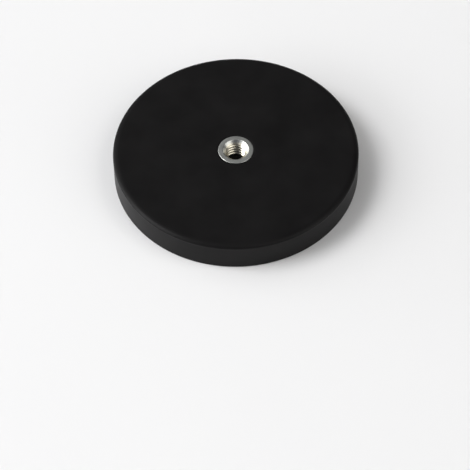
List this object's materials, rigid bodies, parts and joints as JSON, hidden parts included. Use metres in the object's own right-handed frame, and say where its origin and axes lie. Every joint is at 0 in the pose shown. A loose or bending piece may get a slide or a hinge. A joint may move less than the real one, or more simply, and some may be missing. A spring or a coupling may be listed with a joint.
{
  "type": "pot magnet",
  "caption": "Flat round pot magnet in a black rubber jacket, with a flush threaded steel bush in its top face and a flat gripping face below.",
  "frame": {"origin": "centre of the gripping face, on the axis of the thread", "axes": "+Z along the thread, out of its mouth and away from what the magnet grips; the disc is round, so X and Y are equal"},
  "size_m": [0.066, 0.066, 0.0085],
  "materials": {
    "jacket_rubber": "matte",
    "bush_steel": "satin",
    "yoke_steel": "satin",
    "magnet_plating": "gloss"
  },
  "bodies": {
    "root": {"rubber_jacket": "jacket_rubber", "threaded_bush": "bush_steel", "yoke_disc": "yoke_steel", "outer_magnet_01": "magnet_plating", "outer_magnet_02": "magnet_plating", "outer_magnet_03": "magnet_plating", "outer_magnet_04": "magnet_plating", "outer_magnet_05": "magnet_plating", "outer_magnet_06": "magnet_plating", "outer_magnet_07": "magnet_plating", "outer_magnet_08": "magnet_plating", "outer_magnet_09": "magnet_plating", "outer_magnet_10": "magnet_plating", "inner_magnet_01": "magnet_plating", "inner_magnet_02": "magnet_plating", "inner_magnet_03": "magnet_plating", "inner_magnet_04": "magnet_plating"}
  },
  "joints": []
}
